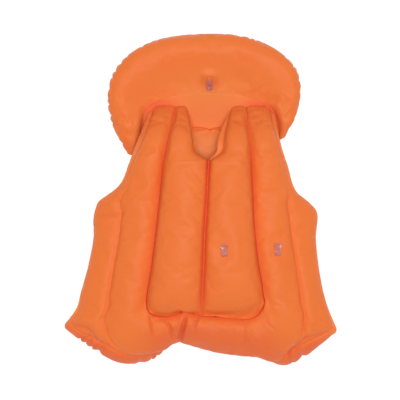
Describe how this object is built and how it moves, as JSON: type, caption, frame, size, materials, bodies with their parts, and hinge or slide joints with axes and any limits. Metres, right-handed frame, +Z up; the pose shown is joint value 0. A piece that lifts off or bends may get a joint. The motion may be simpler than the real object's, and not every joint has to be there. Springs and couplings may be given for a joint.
{
  "type": "swim vest",
  "caption": "Child's inflatable swim vest of orange film, with welded air tubes, a head collar and plug valves, lying on its back with the chest up.",
  "frame": {"origin": "on the surface that the vest lies on, under the middle of its outline", "axes": "+Y towards the collar, +X to the right of the chest seen from above, +Z up out of the chest"},
  "size_m": [0.3812, 0.4607, 0.1203],
  "materials": {
    "orange_film": "satin soft film with fine wrinkles",
    "clear_valve": "clear soft moulding that takes the film's colour"
  },
  "bodies": {
    "root": {"collar": "orange_film", "neck_flap": "orange_film", "inner_chamber": "orange_film", "outer_chamber": "orange_film", "back_panel": "orange_film", "collar_valve_body": "clear_valve", "collar_valve_plug": "clear_valve", "inner_valve_body": "clear_valve", "inner_valve_plug": "clear_valve", "outer_valve_body": "clear_valve", "outer_valve_plug": "clear_valve"}
  },
  "joints": []
}
